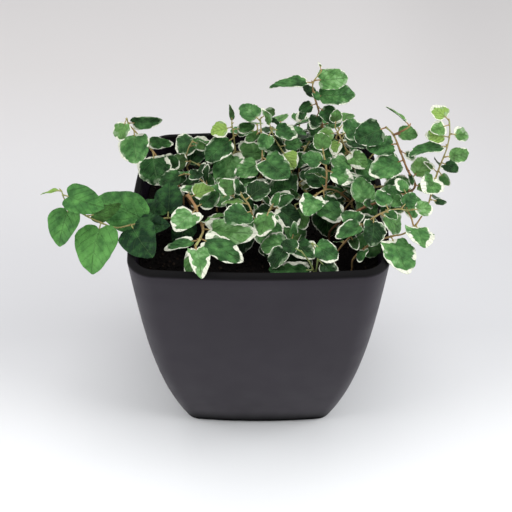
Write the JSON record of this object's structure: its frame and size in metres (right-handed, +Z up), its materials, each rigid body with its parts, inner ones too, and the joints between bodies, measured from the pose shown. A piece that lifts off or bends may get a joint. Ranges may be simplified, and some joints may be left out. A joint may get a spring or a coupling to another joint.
{
  "type": "potted creeping fig",
  "caption": "Creeping fig with small cream-edged leaves on arching and trailing stems, growing in a square dark plastic pot with curved sides.",
  "frame": {"origin": "middle of the pot's flat underside, on the surface it stands on", "axes": "+Z up; the pictured front looks toward -Y, so +X is to the viewer's right"},
  "size_m": [0.2113, 0.1448, 0.176],
  "materials": {
    "pot_plastic": "satin charcoal moulded plastic, faintly textured",
    "soil": "dark moist potting mix with fine crumbs and fibres",
    "green_leaf": "plain mid-green leaf, soft sheen, fine net of veins",
    "edged_leaf": "mottled green leaf with an uneven cream margin, soft sheen"
  },
  "bodies": {
    "root": {"pot": "pot_plastic", "soil": "soil", "stem_left_runner": "green_leaf", "stem_top_left": "edged_leaf", "stem_back_left": "edged_leaf", "stem_back_middle": "edged_leaf", "stem_centre_back": "edged_leaf", "stem_centre": "edged_leaf", "stem_tall": "edged_leaf", "stem_front_left_arch": "edged_leaf", "stem_front_sprout": "edged_leaf", "stem_right_front": "edged_leaf", "stem_far_right": "edged_leaf", "stem_right_brown": "edged_leaf", "stem_right_middle": "edged_leaf", "stem_centre_right": "edged_leaf", "stem_centre_knot": "edged_leaf", "stem_front_middle": "edged_leaf", "stem_crown_01": "edged_leaf", "stem_crown_02": "edged_leaf", "stem_crown_03": "edged_leaf", "stem_crown_04": "edged_leaf", "stem_crown_05": "edged_leaf", "stem_crown_06": "edged_leaf", "stem_crown_07": "edged_leaf", "stem_crown_08": "edged_leaf", "stem_crown_09": "edged_leaf", "stem_crown_10": "edged_leaf", "stem_crown_11": "edged_leaf", "stem_crown_12": "edged_leaf"}
  },
  "joints": []
}
